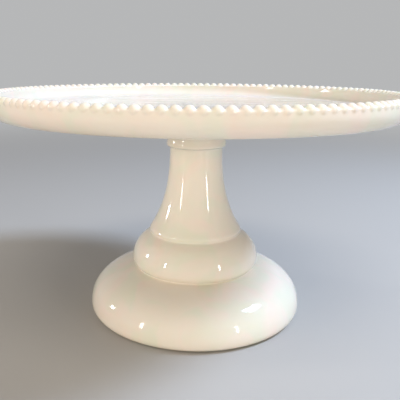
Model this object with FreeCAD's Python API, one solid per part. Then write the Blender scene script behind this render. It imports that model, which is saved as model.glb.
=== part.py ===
import FreeCAD, Part
import math
import os

# Footed cake plate in pressed opaque glass. Millimetres, +Z up; the origin is on the table, under the stem's axis.
# A plate with a beaded, turned-up rim and a hollow pedestal are pressed apart and joined hot by a wafer of glass.

# Whole stand
overall_diameter = 254.0    # across the beads
overall_height = 145.0      # table to bead tops

# Beaded rim
bead_radius = 2.8
bead_spacing = 5.65         # centre to centre round the rim
bead_overhang = 0.5         # beads stand out past the rim's outer face
bead_rise = 1.8             # beads stand up above the rim between them
bead_sides = 8              # flats round a bead, few because there are so many beads

# Plate
rim_thickness = 5.3
rim_straight = 5.35         # bead tops down to where the rim's outer face starts to curve in
outer_sweep_radius = 10.0   # rim's outer face, curving in to the underside
outer_sweep_turn = 66.4     # degrees that it turns before the corner
underside_slope = 7.7       # degrees, the conical zone inside that corner
floor_depth = 10.0          # bead tops down to the serving floor
inner_sweep_radius = 7.0    # serving floor, curving up into the rim
floor_thickness = 7.6       # glass at the middle of the floor
boss_radius = 18.9          # stub under the floor that the wafer takes
boss_height = 12.0
boss_flare_radius = 10.0    # stub into the underside

# Wafer between the two pressings
wafer_radius = 19.2
wafer_thickness = 6.0
wafer_edge_depth = 2.0      # how far its edge bulges out

# Pedestal, outside
foot_diameter = 140.8
foot_height = 29.7          # table to the groove over the foot
foot_edge_radius = 5.4      # widest part of the foot down to the resting ring
dome_top_handle = 14.7      # fullness of the dome at the groove
dome_top_fall = 0.9         # how far it falls over that length
dome_side_handle = 17.0     # fullness of the dome over the foot's edge
knop_diameter = 83.8        # the round swelling over the foot
knop_undercut = 3.7         # how far it turns in to the groove under it
knop_heel_radius = 6.0      # its tight lower curve
knop_crown_radius = 18.3    # its long upper curve
crease_radius = 30.2        # where the knop meets the stem's skirt
skirt_lip_height = 3.2      # rounded lower edge of the skirt
skirt_lip_bulge = 0.45
skirt_angle = 56.7          # degrees below level, the way the skirt runs into its lip
skirt_handle = 19.5         # how long it holds that way
neck_radius = 17.0
neck_handle = 19.5          # how long the neck stays straight

# Pedestal, inside, with the straight drafts of its plunger
resting_ring_width = 4.0
foot_wall_height = 14.0     # inner wall of the foot
foot_wall_draft = 2.8       # how far that wall leans in
shoulder_radius = 46.0      # where the foot's roof turns down
roof_at_shoulder = 7.0      # glass from the shoulder up to the groove's level
wall_at_groove = 5.5        # glass inwards and downwards of the groove
wall_at_knop = 10.5
wall_at_crease = 8.3
core_radius = 9.6           # top of the tapered hollow in the stem
core_dome_height = 5.0
neck_cap = 8.0              # solid glass over the core

# Levels and radii that follow
floor_level = overall_height - floor_depth
underside_level = floor_level - floor_thickness
wafer_top = underside_level - boss_height
pedestal_height = wafer_top - wafer_thickness
rim_outer_radius = overall_diameter / 2 - bead_overhang
rim_inner_radius = rim_outer_radius - rim_thickness
rim_top = overall_height - bead_rise
bead_ring_radius = overall_diameter / 2 - bead_radius
bead_level = overall_height - bead_radius
bead_count = round(2 * math.pi * bead_ring_radius / bead_spacing)


def at(radius, level):
    """A point of a profile, which is drawn in the XZ plane."""
    return FreeCAD.Vector(radius, 0, level)


def line(start, end):
    return Part.LineSegment(start, end).toShape()


def arc(start, through, end):
    return Part.Arc(start, through, end).toShape()


def bezier(*points):
    curve = Part.BezierCurve()
    curve.setPoles(list(points))
    return curve.toShape()


def on_circle(centre, radius, degrees):
    """The point of a profile's circle at an angle up from level."""
    turn = math.radians(degrees)
    return centre + at(radius * math.cos(turn), radius * math.sin(turn))


def turned(edges):
    """A solid turned about the stem's axis from a closed profile."""
    profile = Part.Face(Part.Wire(edges))
    solid = profile.revolve(FreeCAD.Vector(0, 0, 0), FreeCAD.Vector(0, 0, 1), 360)
    return Part.Solid(solid) if solid.ShapeType != "Solid" else solid


def plate_blank():
    """The plate before its beads: floor, turned-up rim, sloping underside and stub."""
    sweep_centre = at(rim_outer_radius - outer_sweep_radius, overall_height - rim_straight)
    corner = on_circle(sweep_centre, outer_sweep_radius, -outer_sweep_turn)
    slope_run = (corner.z - underside_level) / math.tan(math.radians(underside_slope))
    flat_edge = at(corner.x - slope_run, underside_level)
    flare_centre = at(boss_radius + boss_flare_radius, underside_level - boss_flare_radius)
    inner_centre = at(rim_inner_radius - inner_sweep_radius, floor_level + inner_sweep_radius)
    stops = [
        at(0, wafer_top),
        at(boss_radius, wafer_top),
        on_circle(flare_centre, boss_flare_radius, 180),
        on_circle(flare_centre, boss_flare_radius, 90),
        flat_edge,
        corner,
        on_circle(sweep_centre, outer_sweep_radius, 0),
        at(rim_outer_radius, rim_top),
        at(rim_inner_radius, rim_top),
        on_circle(inner_centre, inner_sweep_radius, 0),
        on_circle(inner_centre, inner_sweep_radius, -90),
        at(0, floor_level),
    ]
    through = {
        2: on_circle(flare_centre, boss_flare_radius, 135),
        5: on_circle(sweep_centre, outer_sweep_radius, -outer_sweep_turn / 2),
        9: on_circle(inner_centre, inner_sweep_radius, -45),
    }
    edges = []
    for number, start in enumerate(stops):
        end = stops[(number + 1) % len(stops)]
        edges.append(arc(start, through[number], end) if number in through else line(start, end))
    return turned(edges)


def bead():
    """One bead at the origin: flats that touch a ball of bead_radius all round."""
    corner_radius = bead_radius / math.cos(math.pi / bead_sides)
    corners = []
    for side in range(bead_sides + 1):
        turn = 2 * math.pi * (side + 0.5) / bead_sides
        corners.append(FreeCAD.Vector(corner_radius * math.cos(turn), corner_radius * math.sin(turn), -bead_radius))
    prism = Part.Face(Part.makePolygon(corners)).extrude(FreeCAD.Vector(0, 0, 2 * bead_radius))
    ends = [edge for edge in prism.Edges if edge.BoundBox.ZLength < bead_radius]
    return prism.makeChamfer(bead_radius * (1 - math.tan(math.pi / 8)), ends)


def plate():
    """The plate with its ring of beads pressed in one with the rim."""
    first = bead()
    first.translate(at(bead_ring_radius, bead_level))
    beads = []
    for number in range(bead_count):
        copy = first.copy()
        copy.rotate(FreeCAD.Vector(0, 0, 0), FreeCAD.Vector(0, 0, 1), 360 * number / bead_count)
        beads.append(copy)
    return plate_blank().multiFuse(beads)


def wafer():
    """The disc of glass that joins the pressings, with a fire-rounded edge."""
    edge = wafer_radius - wafer_edge_depth
    middle = (pedestal_height + wafer_top) / 2
    return turned([
        line(at(0, pedestal_height), at(edge, pedestal_height)),
        arc(at(edge, pedestal_height), at(wafer_radius, middle), at(edge, wafer_top)),
        line(at(edge, wafer_top), at(0, wafer_top)),
        line(at(0, wafer_top), at(0, pedestal_height)),
    ])


def pedestal():
    """The hollow pressing: neck, skirt, knop, domed foot and resting ring."""
    foot_radius = foot_diameter / 2
    knop_radius = knop_diameter / 2
    ring_outer = foot_radius - foot_edge_radius
    ring_inner = ring_outer - resting_ring_width
    edge_centre = at(ring_outer, foot_edge_radius)
    groove = at(knop_radius - knop_undercut, foot_height)

    heel_run = knop_heel_radius - knop_undercut
    knop_level = foot_height + math.sqrt(knop_heel_radius ** 2 - heel_run ** 2)
    heel_centre = at(knop_radius - knop_heel_radius, knop_level)
    heel_turn = -math.degrees(math.acos(heel_run / knop_heel_radius)) / 2
    crown_centre = at(knop_radius - knop_crown_radius, knop_level)
    crown_turn = math.degrees(math.acos((crease_radius - crown_centre.x) / knop_crown_radius))
    crease = on_circle(crown_centre, knop_crown_radius, crown_turn)
    widest = at(knop_radius, knop_level)

    lip_top = crease + at(0, skirt_lip_height)
    lip_middle = crease + at(skirt_lip_bulge, skirt_lip_height / 2)
    neck_top = at(neck_radius, pedestal_height)
    skirt_pull = on_circle(lip_top, skirt_handle, 180 - skirt_angle)

    inner_wall_top = at(ring_inner - foot_wall_draft, foot_wall_height)
    shoulder = at(shoulder_radius, foot_height - roof_at_shoulder)
    knee = groove - at(wall_at_groove, wall_at_groove)
    knop_core = widest - at(wall_at_knop, 0)
    skirt_core = crease - at(wall_at_crease, 0)
    core_top = pedestal_height - neck_cap
    core_edge = at(core_radius, core_top - core_dome_height)
    dome_radius = (core_radius ** 2 + core_dome_height ** 2) / (2 * core_dome_height)
    dome_side = math.degrees(math.asin(core_radius / dome_radius)) / 2
    core_dome = on_circle(at(0, core_top - dome_radius), dome_radius, 90 - dome_side)

    return turned([
        line(at(ring_inner, 0), at(ring_outer, 0)),
        arc(at(ring_outer, 0), on_circle(edge_centre, foot_edge_radius, -45), at(foot_radius, foot_edge_radius)),
        bezier(at(foot_radius, foot_edge_radius), at(foot_radius, foot_edge_radius + dome_side_handle),
               groove + at(dome_top_handle, -dome_top_fall), groove),
        arc(groove, on_circle(heel_centre, knop_heel_radius, heel_turn), widest),
        arc(widest, on_circle(crown_centre, knop_crown_radius, crown_turn / 2), crease),
        arc(crease, lip_middle, lip_top),
        bezier(lip_top, skirt_pull, neck_top - at(0, neck_handle), neck_top),
        line(neck_top, at(0, pedestal_height)),
        line(at(0, pedestal_height), at(0, core_top)),
        arc(at(0, core_top), core_dome, core_edge),
        line(core_edge, skirt_core),
        line(skirt_core, knop_core),
        line(knop_core, knee),
        line(knee, shoulder),
        line(shoulder, inner_wall_top),
        line(inner_wall_top, at(ring_inner, 0)),
    ])


os.makedirs("parts", exist_ok=True)
for node, shape in (("plate", plate()), ("joint_wafer", wafer()), ("pedestal", pedestal())):
    shape.exportStep("parts/" + node + ".step")
    print(node, "solids", len(shape.Solids), "valid", shape.isValid(), "volume", round(shape.Volume))
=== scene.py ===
import math

import bmesh
import bpy
from mathutils import Matrix, Vector
from mathutils.geometry import interpolate_bezier


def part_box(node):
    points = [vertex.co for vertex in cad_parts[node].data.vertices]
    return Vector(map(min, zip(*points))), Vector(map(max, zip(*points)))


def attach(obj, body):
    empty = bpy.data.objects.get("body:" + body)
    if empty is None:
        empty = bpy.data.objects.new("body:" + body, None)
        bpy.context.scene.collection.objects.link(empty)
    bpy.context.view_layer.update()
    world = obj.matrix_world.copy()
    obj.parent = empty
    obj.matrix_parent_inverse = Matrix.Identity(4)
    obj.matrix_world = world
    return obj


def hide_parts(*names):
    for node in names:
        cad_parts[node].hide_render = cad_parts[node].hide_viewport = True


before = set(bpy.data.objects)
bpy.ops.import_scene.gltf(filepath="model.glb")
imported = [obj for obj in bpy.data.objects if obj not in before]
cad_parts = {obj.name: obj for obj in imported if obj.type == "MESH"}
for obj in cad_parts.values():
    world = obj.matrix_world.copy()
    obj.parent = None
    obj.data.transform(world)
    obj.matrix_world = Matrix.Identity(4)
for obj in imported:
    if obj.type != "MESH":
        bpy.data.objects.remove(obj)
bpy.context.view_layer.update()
plate_low, plate_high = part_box("plate")
wafer_low, wafer_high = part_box("joint_wafer")
pedestal_low, pedestal_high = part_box("pedestal")

bl_info = {
    "name": "Beaded Cake Stand",
    "version": (1, 0, 0),
    "blender": (4, 5, 0),
    "location": "View3D > Sidebar > Cake Stand",
    "description": "Builds a footed cake plate in pressed opaque glass, with a beaded rim",
    "category": "Add Mesh",
}

BODY = "root"
AXIS = Vector((0.0, 0.0, 1.0))
CENTRE = Vector((0.0, 0.0, 0.0))
LIT_POINT = Vector((0.0, 0.0, 0.06))

SHADE_STEP = 0.001  # a short first step on a flat, which keeps the shading of a curve off it
SAME_PLACE = 1e-6   # points nearer than this, in metres, are one point

# Patterns of the glass: noise cells to a metre, then the depths of the waves and of the chill marks
WARM_CLOUDS, COOL_CLOUDS, SMEARS, SCUFFS = 34.0, 40.0, 22.0, 260.0
WAVES, CHILL = 30.0, 210.0
WAVE_DEPTH, CHILL_DEPTH = 0.00035, 0.000012
CUT_SCALE = (22.0, 420.0, 22.0)           # noise cells to a metre along, across and under a knife cut
GLASS_IOR = 1.52
LIGHT_REACH = (0.004, (1.0, 0.72, 0.45))  # how far light travels in the glass, then each colour's share

FLOOR_RADIUS = 8.0
FLOOR_ROUGHNESS = 0.7
SENSOR_WIDTH = 36.0

# Lamps: name, degrees round from the camera's side, degrees up, metres away,
# size, watts, colour, seen in the gloss
LAMPS = (
    ("window", 91.0, 48.0, 1.2, (0.30, 0.26), 17.0, (0.60, 0.75, 1.0), True),
    ("room_fill", -12.0, 7.0, 1.7, (1.8, 0.6), 13.6, (1.0, 0.89, 0.71), False),
    ("ceiling", 6.0, 67.0, 1.7, (1.0, 0.5), 8.5, (1.0, 0.93, 0.83), False),
    ("left_strip", -53.0, 10.0, 1.2, (0.05, 0.34), 1.7, (1.0, 0.98, 0.95), True),
    ("right_strip", 44.0, 10.0, 1.2, (0.045, 0.42), 2.0, (1.0, 0.98, 0.95), True),
    ("side_glint", -97.0, 12.0, 1.2, (0.08, 0.14), 2.8, (1.0, 0.98, 0.95), True),
)


# ---------------------------------------------------------------- sizes and colours

def length(name, description, default):
    """A size in metres for the sidebar."""
    return bpy.props.FloatProperty(
        name=name, description=description, default=default, min=0.0, unit="LENGTH")


def slope(name, description, degrees):
    """An angle for the sidebar."""
    return bpy.props.FloatProperty(
        name=name, description=description, default=math.radians(degrees), unit="ROTATION")


def share(name, description, default):
    """A strength from 0 to 1 for the sidebar."""
    return bpy.props.FloatProperty(
        name=name, description=description, default=default, min=0.0, max=1.0, subtype="FACTOR")


def tint(name, description, default):
    """A linear colour for the sidebar."""
    return bpy.props.FloatVectorProperty(
        name=name, description=description, default=default, size=3, min=0.0, max=1.0, subtype="COLOR")


class PlateSizes(bpy.types.PropertyGroup):
    """Sizes of the beaded plate"""
    diameter: length("Diameter", "Across the beads", 2 * plate_high.x)
    bead_radius: length("Bead radius", "Radius of one bead of the rim", 0.0028)
    bead_count: bpy.props.IntProperty(name="Beads", description="Beads round the rim", default=138, min=12)
    bead_overhang: length("Bead overhang", "How far the beads stand out past the rim's wall", 0.0005)
    bead_rise: length("Bead rise", "Bead tops above the rim between them", 0.0018)
    bead_melt: length("Bead melt", "How softly a bead runs into the rim", 0.00035)
    rim_thickness: length("Rim thickness", "Glass of the turned-up rim", 0.0053)
    rim_straight: length("Rim straight", "Bead tops down to where the wall curves in", 0.00535)
    outer_sweep: length("Outer sweep", "Radius of the wall's curve into the underside", 0.010)
    outer_turn: slope("Outer turn", "How far the wall's curve goes before the corner", 66.4)
    underside_slope: slope("Underside slope", "Slope of the underside within the corner", 7.7)
    corner_melt: length("Corner melt", "How far the lower corner's rounding reaches inwards", 0.0012)
    floor_depth: length("Floor depth", "Bead tops down to the serving floor", 0.010)
    inner_sweep: length("Inner sweep", "Radius of the floor's curve up into the rim", 0.007)
    floor_thickness: length("Floor thickness", "Glass at the middle of the plate", 0.0076)
    boss_radius: length("Boss radius", "Radius of the stub under the plate", 0.0189)
    boss_flare: length("Boss flare", "Radius of the stub's curve into the underside", 0.010)
    boss_edge: length("Boss edge", "Rounding of the stub's lower edge", 0.0004)
    # the serving floor's grey is partly knife wear and partly painted shade and a painted dark reflection
    wear_and_shade_depth: length("Worn depth", "How far up the rim's curve the floor's wear fades out", 0.0020)


class WaferSizes(bpy.types.PropertyGroup):
    """Sizes of the glass wafer between plate and pedestal"""
    radius: length("Radius", "Widest radius of the wafer", wafer_high.x)
    edge_depth: length("Edge depth", "How far the lower edge bulges out past the neck's fillet", 0.00175)
    bulge_height: length("Bulge height", "Height of the widest place over the joint", 0.0016)
    taper: length("Taper", "How far the edge leans in towards the plate", 0.0006)
    # this band is painted shade: a grey ring on the wafer's lower face at the joint
    wear_and_shade_depth: length("Worn depth", "Height of the band at the joint that looks rubbed", 0.0001)


class PedestalSizes(bpy.types.PropertyGroup):
    """Sizes of the hollow pedestal"""
    foot_radius: length("Foot radius", "Widest radius of the foot", pedestal_high.x)
    foot_height: length("Foot height", "Table to the groove over the foot", 0.0297)
    foot_edge: length("Foot edge", "Radius of the foot's lower edge", 0.0054)
    dome_top_handle: length("Dome fullness at the groove", "Fullness of the dome by the groove", 0.0147)
    dome_top_fall: length("Dome fall", "How far the dome falls over that length", 0.0009)
    dome_side_handle: length("Dome fullness at the edge", "Fullness of the dome over its edge", 0.0170)
    knop_radius: length("Knop radius", "Widest radius of the knop", 0.0419)
    knop_undercut: length("Knop undercut", "How far the knop turns in to the groove", 0.0037)
    knop_heel: length("Knop heel", "Radius of the knop's lower curve", 0.0060)
    knop_crown: length("Knop crown", "Radius of the knop's upper curve", 0.0183)
    skirt_radius: length("Skirt radius", "Widest radius of the skirt, over its lip", 0.0302)
    lip_undercut: length("Lip undercut", "How far the lip turns under to the crease", 0.0008)
    lip_height: length("Lip height", "Height of the skirt's rounded lip", 0.0032)
    lip_fullness: length("Lip fullness", "How far the lip holds the skirt's slope", 0.0011)
    skirt_slope: slope("Skirt slope", "Way that the skirt runs into its lip", 56.7)
    skirt_handle: length("Skirt handle", "How long the skirt holds its slope", 0.0195)
    neck_radius: length("Neck radius", "Radius at the top of the stem", 0.0170)
    neck_melt: length("Neck melt", "Size of the soft fillet under the wafer", 0.0013)
    neck_handle: length("Neck handle", "How long the neck stays straight", 0.0195)
    ring_width: length("Resting ring", "Width of the ring that the foot rests on", 0.0040)
    wear_and_shade_depth: length("Worn depth", "Height of the rubbed band on the resting ring", 0.0006)
    foot_wall: length("Foot wall", "Height of the inner wall of the foot", 0.014)
    foot_draft: length("Foot draft", "How far that wall leans in", 0.0028)
    shoulder_radius: length("Shoulder", "Radius at which the foot's roof turns down", 0.046)
    roof_glass: length("Roof glass", "Glass from the shoulder up to the groove's level", 0.007)
    groove_glass: length("Groove glass", "Glass inwards and downwards of the groove", 0.0055)
    knop_glass: length("Knop glass", "Glass behind the knop", 0.0105)
    skirt_glass: length("Skirt glass", "Glass behind the skirt's crease", 0.0075)
    core_radius: length("Core radius", "Top radius of the hollow in the stem", 0.0096)
    core_dome: length("Core dome", "Height of the core's rounded end", 0.0050)
    neck_cap: length("Neck cap", "Solid glass over the core", 0.0080)


class GlassFinish(bpy.types.PropertyGroup):
    """Colour and gloss of the opaque glass"""
    ivory: tint("Ivory", "Main colour of the glass", (0.835, 0.752, 0.64))
    shell: tint("Shell pink", "Warm clouds in the glass", (0.87, 0.70, 0.605))
    celadon: tint("Celadon", "Cool clouds in the glass", (0.73, 0.76, 0.60))
    clouds: share("Clouds", "Strength of the clouds", 0.5)
    gloss_roughness: share("Roughness", "Roughness of the fire-polished skin", 0.07)
    # grey of real wear on the resting ring and in knife cuts, and of painted shade and a painted dark
    # reflection on the serving floor and at the wafer's joint
    wear_and_shade: tint("Worn glass", "Grey of the faces that knives and tables rub", (0.60, 0.55, 0.515))
    translucency: share("Translucency", "Light that travels inside the glass", 0.14)


class StageLook(bpy.types.PropertyGroup):
    """Floor, light and camera"""
    floor_colour: tint("Floor", "Colour of the floor", (0.45, 0.43, 0.405))
    backdrop_colour: tint("Backdrop", "Colour behind the floor", (0.47, 0.475, 0.48))
    fade_start: length("Fade start", "Distance from the stand at which the floor starts to fade", 0.45)
    fade_end: length("Fade end", "Distance at which the floor has the backdrop's colour", 1.4)
    camera_distance: length("Camera distance", "From the stem's axis to the lens", 0.3362)
    camera_height: length("Camera height", "Above the table", 0.1607)
    camera_yaw: slope("Camera yaw", "Turn of the camera to the left", 1.759)
    camera_tilt: slope("Camera tilt", "How far the camera looks down", 14.6)
    camera_roll: slope("Camera roll", "Turn of the camera about its line of sight", 0.3438)
    lens: bpy.props.FloatProperty(
        name="Lens", description="Focal length", default=47.0, min=1.0, unit="CAMERA")
    shift: bpy.props.FloatProperty(
        name="Shift", description="Sideways shift of the picture, as a share of its width", default=0.05)
    glow_colour: tint("Glow", "Colour of the soft light all round", (0.97, 0.97, 1.0))
    glow: share("Glow strength", "Strength of the soft light all round", 0.24)


class StandSettings(bpy.types.PropertyGroup):
    """Everything that can be set on the stand"""
    plate: bpy.props.PointerProperty(type=PlateSizes, name="Plate", description="Sizes of the plate")
    wafer: bpy.props.PointerProperty(type=WaferSizes, name="Wafer", description="Sizes of the wafer")
    pedestal: bpy.props.PointerProperty(
        type=PedestalSizes, name="Pedestal", description="Sizes of the pedestal")
    glass: bpy.props.PointerProperty(type=GlassFinish, name="Glass", description="Finish of the glass")
    stage: bpy.props.PointerProperty(type=StageLook, name="Stage", description="Floor, light and camera")


# ---------------------------------------------------------------- outlines

def at(radius, level):
    """A point of a half section, which is drawn in the XZ plane."""
    return Vector((radius, 0.0, level))


def on_circle(centre, radius, degrees):
    """The point of a half section's circle at an angle up from level."""
    turn = math.radians(degrees)
    return centre + at(radius * math.cos(turn), radius * math.sin(turn))


def sweep(centre, radius, start, end, steps):
    """Points along an arc of a half section, from one angle to another in degrees."""
    return [on_circle(centre, radius, start + (end - start) * step / steps) for step in range(steps + 1)]


def bend(start, start_handle, end_handle, end, steps):
    """Points along a curve that leaves and arrives by its handles."""
    return interpolate_bezier(start, start_handle, end_handle, end, steps + 1)


def straight(start, end, steps):
    """Points evenly along a line."""
    return [start.lerp(end, step / steps) for step in range(steps + 1)]


def wire(points):
    """A new bmesh with an open outline through the points, each place once."""
    outline = bmesh.new()
    last = None
    for point in points:
        if last is not None and (point - last.co).length < SAME_PLACE:
            continue
        vert = outline.verts.new(point)
        if last is not None:
            outline.edges.new((last, vert))
        last = vert
    return outline


def fire_polish(outline, passes, below):
    """Melts the creases of an outline below a level, and leaves its ends where they are."""
    soft = [vert for vert in outline.verts if len(vert.link_edges) == 2 and vert.co.z < below]
    for _ in range(passes):
        bmesh.ops.smooth_vert(outline, verts=soft, factor=0.5, use_axis_x=True, use_axis_z=True)


def turn_round(outline, steps):
    """Turns an outline that starts and ends on the axis into a closed solid."""
    geometry = outline.verts[:] + outline.edges[:]
    bmesh.ops.spin(
        outline, geom=geometry, cent=CENTRE, axis=AXIS, dvec=CENTRE, angle=2 * math.pi, steps=steps,
        use_merge=True, use_duplicate=False)
    bmesh.ops.remove_doubles(outline, verts=outline.verts, dist=SAME_PLACE)


def finish_piece(mesh_data, name, node, material):
    """Makes the object, rides it on the stand's body and lets it stand for its solid."""
    bmesh.ops.recalc_face_normals(mesh_data, faces=mesh_data.faces)
    for face in mesh_data.faces:
        face.smooth = True
    mesh = bpy.data.meshes.new(name)
    mesh_data.to_mesh(mesh)
    mesh_data.free()
    piece = bpy.data.objects.new(name, mesh)
    bpy.context.scene.collection.objects.link(piece)
    mesh.materials.append(material)
    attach(piece, BODY)
    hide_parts(node)


# ---------------------------------------------------------------- shader writing

class Strand:
    """A socket of a material or world. Arithmetic and comparisons on it add Math nodes."""

    def __init__(self, recipe, socket):
        self.recipe = recipe
        self.socket = socket

    def _math(self, operation, first, second):
        return self.recipe.add("ShaderNodeMath", {"operation": operation}, {0: first, 1: second})

    def __add__(self, other):
        return self._math("ADD", self, other)

    def __radd__(self, other):
        return self._math("ADD", other, self)

    def __sub__(self, other):
        return self._math("SUBTRACT", self, other)

    def __rsub__(self, other):
        return self._math("SUBTRACT", other, self)

    def __mul__(self, other):
        return self._math("MULTIPLY", self, other)

    def __rmul__(self, other):
        return self._math("MULTIPLY", other, self)

    def __lt__(self, other):
        return self._math("LESS_THAN", self, other)

    def __gt__(self, other):
        return self._math("GREATER_THAN", self, other)

    def __abs__(self):
        return self.recipe.add("ShaderNodeMath", {"operation": "ABSOLUTE"}, {0: self})


class Recipe:
    """The nodes of a new material or world."""

    def __init__(self, owner):
        self.owner = owner
        owner.use_nodes = True
        self.tree = owner.node_tree
        self.tree.nodes.clear()

    def add(self, kind, settings, sockets, output=0):
        """Adds a node, applies its settings, then fills its sockets with values or strands."""
        node = self.tree.nodes.new(kind)
        for key, value in settings.items():
            if key == "stops":
                self._ramp(node.color_ramp, value)
            else:
                setattr(node, key, value)
        for key, value in sockets.items():
            if isinstance(value, Strand):
                self.tree.links.new(value.socket, node.inputs[key])
            else:
                node.inputs[key].default_value = value
        return Strand(self, node.outputs[output]) if node.outputs else None

    def _ramp(self, ramp, stops):
        while len(ramp.elements) < len(stops):
            ramp.elements.new(1.0)
        for element, (place, value) in zip(ramp.elements, stops):
            element.position = place
            element.color = (value, value, value, 1.0)

    def place(self):
        """Where a point is on the stand, in metres."""
        return self.add("ShaderNodeTexCoord", {}, {}, "Object")

    def noise(self, place, scale, detail=2.0, distortion=0.0, roughness=0.5):
        """Cloudy noise from 0 to 1."""
        return self.add("ShaderNodeTexNoise", {}, {
            "Vector": place, "Scale": scale, "Detail": detail, "Distortion": distortion,
            "Roughness": roughness})

    def stretched(self, place, scale):
        """The place, stretched by a scale on each axis."""
        return self.add("ShaderNodeMapping", {}, {"Vector": place, "Scale": scale})

    def ramp(self, value, stops):
        """Maps a value through a ramp of greys."""
        return self.add("ShaderNodeValToRGB", {"stops": stops}, {"Fac": value})

    def cuts(self, place, degrees):
        """Fine knife cuts that run one way, from 0 to 1."""
        turned = self.add("ShaderNodeMapping", {}, {
            "Vector": place, "Rotation": (0.0, 0.0, math.radians(degrees)), "Scale": CUT_SCALE})
        return self.ramp(self.noise(turned, 1.0, 3.0, 0.6), [(0.58, 0.0), (0.66, 1.0)])

    def blend(self, factor, first, second):
        """Mixes two colours."""
        return self.add("ShaderNodeMix", {"data_type": "RGBA"}, {0: factor, 6: first, 7: second}, 2)

    def distance(self, place):
        """How far a point is from the origin."""
        return self.add("ShaderNodeVectorMath", {"operation": "LENGTH"}, {"Vector": place}, "Value")

    def finish(self, shader, output="ShaderNodeOutputMaterial"):
        """Sends the shader to the surface and gives back the finished material or world."""
        self.add(output, {}, {"Surface": shader})
        return self.owner


def opaque(colour):
    """A property's colour with full alpha."""
    return (*colour, 1.0)


def milk_glass(name, wear_and_shade_band):
    """Glossy opaque glass with soft clouds. The last argument is the level, depth and radius of a grey
    band. It is rubbed wear on the resting ring, painted shade at the wafer's joint, and knife wear with
    painted shade and a painted dark reflection on the serving floor.
    """
    finish = bpy.context.scene.cake_stand.glass
    recipe = Recipe(bpy.data.materials.new(name))
    place = recipe.place()
    warm = recipe.ramp(recipe.noise(place, WARM_CLOUDS, 3.0, 0.8), [(0.44, 0.0), (0.62, 1.0)])
    flattened = recipe.stretched(place, (1.0, 1.0, 0.8))
    cool = recipe.ramp(recipe.noise(flattened, COOL_CLOUDS, 2.0, 1.0), [(0.46, 0.0), (0.64, 1.0)])
    colour = recipe.blend(warm * finish.clouds, opaque(finish.ivory), opaque(finish.shell))
    colour = recipe.blend(cool * finish.clouds, colour, opaque(finish.celadon))

    level, depth, radius = wear_and_shade_band
    height = recipe.add("ShaderNodeSeparateXYZ", {}, {"Vector": place}, "Z")
    near_level = recipe.add("ShaderNodeMapRange", {}, {
        "Value": abs(height - level), "From Min": 0.0, "From Max": depth, "To Min": 1.0, "To Max": 0.0})
    # mask of the grey band near a level and inside a radius, which carries both wear and painted shade
    wear_and_shade = near_level * (recipe.distance(recipe.stretched(place, (1.0, 1.0, 0.0))) < radius)
    smears = recipe.ramp(recipe.noise(place, SMEARS, 4.0, 0.5, 0.6), [(0.4, 0.0), (0.75, 1.0)])
    streaks = recipe.stretched(place, (1.0, 7.0, 1.0))
    scuffs = recipe.ramp(recipe.noise(streaks, SCUFFS, 3.0, 2.0), [(0.5, 0.0), (0.66, 1.0)])
    cuts = recipe.cuts(place, 25.0) + recipe.cuts(place, 115.0) * 0.7
    # greys the band: painted shade and a painted dark reflection, with smears and knife cuts for wear
    colour = recipe.blend(wear_and_shade * (0.42 + smears * 0.3 + cuts * 0.28), colour, opaque(finish.wear_and_shade))
    roughness = finish.gloss_roughness + smears * 0.05 + wear_and_shade * (scuffs * 0.1 + cuts * 0.12)

    waves = recipe.add("ShaderNodeBump", {}, {
        "Strength": 1.0, "Distance": WAVE_DEPTH, "Height": recipe.noise(place, WAVES, 1.0, 0.3)})
    chill = recipe.noise(recipe.stretched(place, (1.0, 1.0, 0.4)), CHILL, 2.0)
    skin = recipe.add("ShaderNodeBump", {}, {
        "Strength": 1.0, "Distance": CHILL_DEPTH, "Height": chill, "Normal": waves})

    reach, colour_shares = LIGHT_REACH
    shader = recipe.add("ShaderNodeBsdfPrincipled", {}, {
        "Base Color": colour, "Roughness": roughness, "IOR": GLASS_IOR, "Normal": skin,
        "Subsurface Weight": finish.translucency, "Subsurface Radius": colour_shares,
        "Subsurface Scale": reach})
    return recipe.finish(shader)


# ---------------------------------------------------------------- pieces

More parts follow.
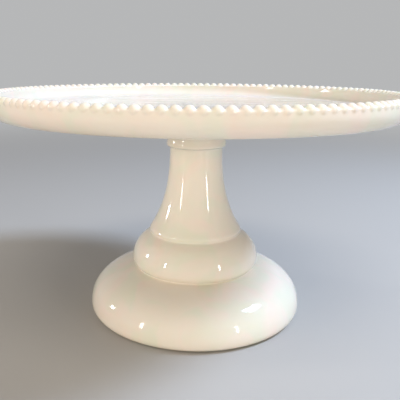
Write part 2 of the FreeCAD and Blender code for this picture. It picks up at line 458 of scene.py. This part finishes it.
class CAKESTAND_OT_plate(bpy.types.Operator):
    """Build the plate with its turned-up rim and ring of beads"""
    bl_idname = "cakestand.plate"
    bl_label = "Plate"

    STEPS_PER_BEAD = 8
    RIM_STEPS = 32

    def execute(self, context):
        sizes = context.scene.cake_stand.plate
        self.ring_radius = sizes.diameter / 2 - sizes.bead_radius
        self.bead_level = plate_high.z - sizes.bead_radius
        mesh = wire(self.outline(sizes))
        self.press_one_bead(mesh, sizes)
        self.repeat_round(mesh, sizes.bead_count)
        floor = plate_high.z - sizes.floor_depth
        inner_wall = sizes.diameter / 2 - sizes.rim_thickness
        # greys the serving floor with knife wear, painted shade and a painted dark reflection
        material = milk_glass("plate glass", (floor, sizes.wear_and_shade_depth, inner_wall))
        finish_piece(mesh, "plate_glass", "plate", material)
        return {"FINISHED"}

    def rim_section(self, sizes):
        """The rim under the beads, as points round the beads' own centre line."""
        outward = sizes.bead_radius - sizes.bead_overhang
        inward = sizes.rim_thickness - outward
        upward = sizes.bead_radius - sizes.bead_rise
        centre = at(self.ring_radius, self.bead_level)
        start = math.degrees(math.atan((sizes.rim_straight - sizes.bead_radius) / outward))
        points = []
        for step in range(self.RIM_STEPS + 1):
            angle = -start + (180.0 + start) * step / self.RIM_STEPS
            across, up = math.cos(math.radians(angle)), math.sin(math.radians(angle))
            if angle <= 0.0:
                reach = outward / across
            elif angle <= 90.0:
                reach = 1.0 / math.hypot(across / outward, up / upward)
            else:
                reach = ((across / inward) ** 4 + (up / upward) ** 4) ** -0.25
            points.append(on_circle(centre, reach, angle))
        return points

    def outline(self, sizes):
        """Half section of the plate without its beads, from under the boss round to the floor's middle."""
        floor = plate_high.z - sizes.floor_depth
        underside = floor - sizes.floor_thickness
        wall = sizes.diameter / 2 - sizes.bead_overhang
        inner_wall = wall - sizes.rim_thickness
        outer_centre = at(wall - sizes.outer_sweep, plate_high.z - sizes.rim_straight)
        inner_centre = at(inner_wall - sizes.inner_sweep, floor + sizes.inner_sweep)
        flare_centre = at(sizes.boss_radius + sizes.boss_flare, underside - sizes.boss_flare)
        turn = math.degrees(sizes.outer_turn)
        corner = on_circle(outer_centre, sizes.outer_sweep, -turn)
        fall = math.tan(sizes.underside_slope)
        flat_edge = at(corner.x - (corner.z - underside) / fall, underside)
        melt = sizes.corner_melt
        corner_in = corner + (flat_edge - corner).normalized() * melt
        after_corner = math.degrees(melt / sizes.outer_sweep) - turn
        stub = at(sizes.boss_radius, plate_low.z)
        edge = sizes.boss_edge
        return (
            straight(at(0.0, stub.z), stub - at(2 * edge, 0.0), 4)
            + bend(stub - at(edge, 0.0), stub, stub, stub + at(0.0, edge), 4)
            + sweep(flare_centre, sizes.boss_flare, 180.0, 90.0, 8)
            + straight(at(flare_centre.x + SHADE_STEP, underside), flat_edge, 5)
            + straight(flat_edge, corner_in, 5)
            + bend(corner_in, corner, corner, on_circle(outer_centre, sizes.outer_sweep, after_corner), 4)
            + sweep(outer_centre, sizes.outer_sweep, after_corner, 0.0, 8)
            + self.rim_section(sizes)
            + sweep(inner_centre, sizes.inner_sweep, 0.0, -90.0, 9)
            + straight(at(inner_centre.x - SHADE_STEP, floor), at(0.0, floor), 5)
        )

    def press_one_bead(self, mesh, sizes):
        """Turns the outline through one bead's width and pushes the rim out to the bead's ball."""
        width = 2 * math.pi / sizes.bead_count
        bmesh.ops.rotate(mesh, verts=mesh.verts, cent=CENTRE, matrix=Matrix.Rotation(-width / 2, 3, AXIS))
        bmesh.ops.spin(
            mesh, geom=mesh.verts[:] + mesh.edges[:], cent=CENTRE, axis=AXIS, dvec=CENTRE, angle=width,
            steps=self.STEPS_PER_BEAD, use_merge=False, use_duplicate=False)
        bmesh.ops.remove_doubles(mesh, verts=mesh.verts, dist=0.1 * SAME_PLACE)
        melt = sizes.bead_melt
        for vert in mesh.verts:
            radius = vert.co.xy.length
            offset = at(radius - self.ring_radius, vert.co.z - self.bead_level)
            plain = offset.length
            if plain > sizes.bead_radius + melt:
                continue
            swing = math.atan2(vert.co.y, vert.co.x)
            along = self.ring_radius * swing
            ball = math.sqrt(max(sizes.bead_radius ** 2 - along ** 2, 0.0))
            # the larger of rim and ball, rounded over where they meet
            overlap = max(melt - abs(plain - ball), 0.0) / melt
            reach = max(plain, ball) + melt * overlap ** 3 / 6
            moved = at(self.ring_radius, self.bead_level) + offset * (reach / plain)
            vert.co = Matrix.Rotation(swing, 3, AXIS) @ moved

    def repeat_round(self, mesh, count):
        """Copies the one-bead wedge round the plate and joins the wedges."""
        bmesh.ops.spin(
            mesh, geom=mesh.verts[:] + mesh.edges[:] + mesh.faces[:], cent=CENTRE, axis=AXIS, dvec=CENTRE,
            angle=2 * math.pi * (count - 1) / count, steps=count - 1, use_merge=False, use_duplicate=True)
        bmesh.ops.remove_doubles(mesh, verts=mesh.verts, dist=2 * SAME_PLACE)


class CAKESTAND_OT_wafer(bpy.types.Operator):
    """Build the disc of glass that joins the plate to the pedestal"""
    bl_idname = "cakestand.wafer"
    bl_label = "Joint wafer"

    STEPS_ROUND = 144

    def execute(self, context):
        sizes = context.scene.cake_stand.wafer
        widest = at(sizes.radius, wafer_low.z + sizes.bulge_height)
        lower = at(sizes.radius - sizes.edge_depth, wafer_low.z)
        upper = at(sizes.radius - sizes.taper, wafer_high.z)
        full, rise = at(0.0, 0.7 * sizes.bulge_height), at(0.0, 0.4 * (upper.z - widest.z))
        outline = wire(
            straight(at(0.0, wafer_low.z), lower, 6)
            + bend(lower, lower + at(0.5, 0.25) * sizes.edge_depth, widest - full, widest, 12)
            + bend(widest, widest + rise, upper - rise, upper, 12)
            + straight(upper, at(0.0, wafer_high.z), 6))
        turn_round(outline, self.STEPS_ROUND)
        # a thin grey ring of painted shade on the wafer's lower face at the joint
        material = milk_glass("wafer glass", (wafer_low.z, sizes.wear_and_shade_depth, sizes.radius))
        finish_piece(outline, "joint_wafer_glass", "joint_wafer", material)
        return {"FINISHED"}


class CAKESTAND_OT_pedestal(bpy.types.Operator):
    """Build the hollow pedestal: neck, skirt, knop and domed foot"""
    bl_idname = "cakestand.pedestal"
    bl_label = "Pedestal"

    STEPS_ROUND = 160

    def execute(self, context):
        sizes = context.scene.cake_stand.pedestal
        outside, groove, widest, crease = self.outside(sizes)
        outline = wire(outside + self.inside(sizes, groove, widest, crease))
        fire_polish(outline, 5, pedestal_high.z - sizes.neck_cap)
        turn_round(outline, self.STEPS_ROUND)
        material = milk_glass("pedestal glass", (pedestal_low.z, sizes.wear_and_shade_depth, sizes.foot_radius))
        finish_piece(outline, "pedestal_glass", "pedestal", material)
        return {"FINISHED"}

    def outside(self, sizes):
        """Half section from the top of the neck down to the resting ring."""
        top = pedestal_high.z
        groove = at(sizes.knop_radius - sizes.knop_undercut, sizes.foot_height)
        heel_run = sizes.knop_heel - sizes.knop_undercut
        knop_level = groove.z + math.sqrt(sizes.knop_heel ** 2 - heel_run ** 2)
        heel_centre = at(sizes.knop_radius - sizes.knop_heel, knop_level)
        heel_turn = math.degrees(math.acos(heel_run / sizes.knop_heel))
        crown_centre = at(sizes.knop_radius - sizes.knop_crown, knop_level)
        crease = self.on_crown(crown_centre, sizes, sizes.skirt_radius - sizes.lip_undercut)
        crown_turn = math.degrees(math.atan2(crease.z - crown_centre.z, crease.x - crown_centre.x))
        lip_top = self.on_crown(crown_centre, sizes, sizes.skirt_radius) + at(0.0, sizes.lip_height)
        slope = math.degrees(sizes.skirt_slope)
        skirt_pull = on_circle(lip_top, sizes.skirt_handle, 180.0 - slope)
        lip_pull = on_circle(lip_top, sizes.lip_fullness, -slope)
        lip_return = on_circle(crease, sizes.lip_fullness, slope)
        neck_top, melt = at(sizes.neck_radius, top), at(0.0, sizes.neck_melt)
        under_wafer = neck_top + at(0.35 * sizes.neck_melt, 0.0)
        edge_centre = at(sizes.foot_radius - sizes.foot_edge, sizes.foot_edge)
        foot_side = at(sizes.foot_radius, sizes.foot_edge)
        points = (
            straight(at(0.0, top), under_wafer, 6)
            + bend(under_wafer, neck_top - 0.3 * melt, neck_top - 0.5 * melt, neck_top - melt, 6)
            + bend(neck_top - melt, neck_top - at(0.0, sizes.neck_handle), skirt_pull, lip_top, 48)
            + bend(lip_top, lip_pull, lip_return, crease, 8)
            + sweep(crown_centre, sizes.knop_crown, crown_turn, 0.0, 24)
            + sweep(heel_centre, sizes.knop_heel, 0.0, -heel_turn, 10)
            + bend(groove, groove + at(sizes.dome_top_handle, -sizes.dome_top_fall),
                   foot_side + at(0.0, sizes.dome_side_handle), foot_side, 40)
            + sweep(edge_centre, sizes.foot_edge, 0.0, -90.0, 10)
            + straight(at(edge_centre.x, 0.0), at(edge_centre.x - sizes.ring_width, 0.0), 8)
        )
        return points, groove, at(sizes.knop_radius, knop_level), crease

    def on_crown(self, centre, sizes, radius):
        """The point of the knop's upper curve at a radius from the axis."""
        return centre + at(radius - centre.x, math.sqrt(sizes.knop_crown ** 2 - (radius - centre.x) ** 2))

    def inside(self, sizes, groove, widest, crease):
        """Half section of the plunger's hollow, from the resting ring up to the core's rounded end."""
        ring_inner = sizes.foot_radius - sizes.foot_edge - sizes.ring_width
        core_top = pedestal_high.z - sizes.neck_cap
        corners = [
            at(ring_inner, 0.0),
            at(ring_inner - sizes.foot_draft, sizes.foot_wall),
            at(sizes.shoulder_radius, sizes.foot_height - sizes.roof_glass),
            groove - at(sizes.groove_glass, sizes.groove_glass),
            widest - at(sizes.knop_glass, 0.0),
            crease - at(sizes.skirt_glass, 0.0),
            at(sizes.core_radius, core_top - sizes.core_dome),
        ]
        hollow = wire(corners)
        bmesh.ops.subdivide_edges(hollow, edges=hollow.edges, cuts=7)
        fire_polish(hollow, 6, core_top)
        ordered = self.in_order(hollow, corners[0])
        hollow.free()
        # handles of a little over half the radius make a round end
        dome = bend(ordered[-1], ordered[-1] + at(0.0, sizes.core_dome * 0.6),
                    at(sizes.core_radius * 0.55, core_top), at(0.0, core_top), 8)
        return ordered + dome

    def in_order(self, outline, start):
        """The outline's points, walked from the end nearest to start."""
        ends = [vert for vert in outline.verts if len(vert.link_edges) == 1]
        vert = min(ends, key=lambda end: (end.co - start).length)
        points, edge = [vert.co.copy()], vert.link_edges[0]
        while True:
            vert = edge.other_vert(vert)
            points.append(vert.co.copy())
            onward = [other for other in vert.link_edges if other is not edge]
            if not onward:
                return points
            edge = onward[0]


# ---------------------------------------------------------------- stage

class CAKESTAND_OT_stage(bpy.types.Operator):
    """Lay the floor and set the light and the camera"""
    bl_idname = "cakestand.stage"
    bl_label = "Stage"

    def execute(self, context):
        look = context.scene.cake_stand.stage
        self.lay_floor(look)
        self.light_world(context.scene, look)
        for lamp in LAMPS:
            self.softbox(*lamp)
        self.place_camera(context.scene, look)
        context.scene.view_settings.view_transform = "Standard"
        return {"FINISHED"}

    def lay_floor(self, look):
        """A wide plain floor that fades into the backdrop far from the stand."""
        mesh_data = bmesh.new()
        bmesh.ops.create_circle(mesh_data, cap_ends=True, segments=96, radius=FLOOR_RADIUS)
        mesh = bpy.data.meshes.new("floor")
        mesh_data.to_mesh(mesh)
        mesh_data.free()
        floor = bpy.data.objects.new("floor", mesh)
        bpy.context.scene.collection.objects.link(floor)
        recipe = Recipe(bpy.data.materials.new("floor paper"))
        paper = recipe.add("ShaderNodeBsdfPrincipled", {}, {
            "Base Color": opaque(look.floor_colour), "Roughness": FLOOR_ROUGHNESS})
        distance = recipe.distance(recipe.place())
        far = recipe.add("ShaderNodeMapRange", {"interpolation_type": "SMOOTHSTEP"}, {
            "Value": distance, "From Min": look.fade_start, "From Max": look.fade_end,
            "To Min": 0.0, "To Max": 1.0})
        haze = recipe.add("ShaderNodeEmission", {}, {"Color": opaque(look.backdrop_colour)})
        faded = recipe.add("ShaderNodeMixShader", {}, {0: far, 1: paper, 2: haze})
        mesh.materials.append(recipe.finish(faded))

    def light_world(self, scene, look):
        """Soft even light all round, and a plain backdrop that the camera and the gloss see."""
        recipe = Recipe(bpy.data.worlds.new("studio"))
        to_camera = recipe.add("ShaderNodeLightPath", {}, {}, "Is Camera Ray")
        to_gloss = recipe.add("ShaderNodeLightPath", {}, {}, "Is Glossy Ray")
        seen = recipe.add("ShaderNodeMath", {"operation": "MAXIMUM"}, {0: to_camera, 1: to_gloss})
        glow = recipe.add("ShaderNodeBackground", {}, {
            "Color": opaque(look.glow_colour), "Strength": look.glow})
        backdrop = recipe.add("ShaderNodeBackground", {}, {"Color": opaque(look.backdrop_colour)})
        both = recipe.add("ShaderNodeMixShader", {}, {0: seen, 1: glow, 2: backdrop})
        scene.world = recipe.finish(both, "ShaderNodeOutputWorld")

    def softbox(self, name, azimuth, elevation, distance, size, power, colour, in_gloss):
        """A rectangular lamp, by its direction from the camera's side of the stand."""
        turn, rise = math.radians(azimuth), math.radians(elevation)
        toward = Vector((math.sin(turn) * math.cos(rise), -math.cos(turn) * math.cos(rise), math.sin(rise)))
        light = bpy.data.lights.new(name, "AREA")
        light.shape = "RECTANGLE"
        light.size, light.size_y = size
        light.energy = power
        light.color = colour
        lamp = bpy.data.objects.new(name, light)
        lamp.location = LIT_POINT + toward * distance
        lamp.rotation_euler = toward.to_track_quat("Z", "Y").to_euler()
        lamp.visible_glossy = in_gloss
        bpy.context.scene.collection.objects.link(lamp)

    def place_camera(self, scene, look):
        """Looks a little down on the stand, as a person sees it on a table."""
        camera = bpy.data.cameras.new("camera")
        camera.lens = look.lens
        camera.sensor_width = SENSOR_WIDTH
        camera.shift_x = look.shift
        camera.clip_start, camera.clip_end = 0.01, 50.0
        view = bpy.data.objects.new("camera", camera)
        view.location = (0.0, -look.camera_distance, look.camera_height)
        yaw = Matrix.Rotation(look.camera_yaw, 3, "Z")
        tilt = Matrix.Rotation(math.pi / 2 - look.camera_tilt, 3, "X")
        roll = Matrix.Rotation(look.camera_roll, 3, "Z")
        view.rotation_euler = (yaw @ tilt @ roll).to_euler()
        scene.collection.objects.link(view)
        scene.camera = view


class CAKESTAND_PT_sidebar(bpy.types.Panel):
    """Lists the stand's pieces and their sizes"""
    bl_idname = "CAKESTAND_PT_sidebar"
    bl_label = "Cake Stand"
    bl_space_type = "VIEW_3D"
    bl_region_type = "UI"
    bl_category = "Cake Stand"

    def draw(self, context):
        settings = context.scene.cake_stand
        for operator, group in PIECES:
            box = self.layout.box()
            box.operator(operator.bl_idname)
            self.list_settings(box, getattr(settings, group))
        self.list_settings(self.layout.box(), settings.glass)

    def list_settings(self, layout, group):
        """Puts each setting of a group in the sidebar."""
        for name in group.bl_rna.properties.keys():
            if name not in {"rna_type", "name"}:
                layout.prop(group, name)


PIECES = (
    (CAKESTAND_OT_plate, "plate"),
    (CAKESTAND_OT_wafer, "wafer"),
    (CAKESTAND_OT_pedestal, "pedestal"),
    (CAKESTAND_OT_stage, "stage"),
)
CLASSES = (
    PlateSizes, WaferSizes, PedestalSizes, GlassFinish, StageLook, StandSettings,
    *(operator for operator, _ in PIECES), CAKESTAND_PT_sidebar,
)


def register():
    for each in CLASSES:
        bpy.utils.register_class(each)
    bpy.types.Scene.cake_stand = bpy.props.PointerProperty(type=StandSettings)


def unregister():
    del bpy.types.Scene.cake_stand
    for each in reversed(CLASSES):
        bpy.utils.unregister_class(each)


def main():
    """Builds the stand and its stage."""
    register()
    for operator, _ in PIECES:
        group, action = operator.bl_idname.split(".")
        getattr(getattr(bpy.ops, group), action)()


if __name__ == "__main__":
    main()
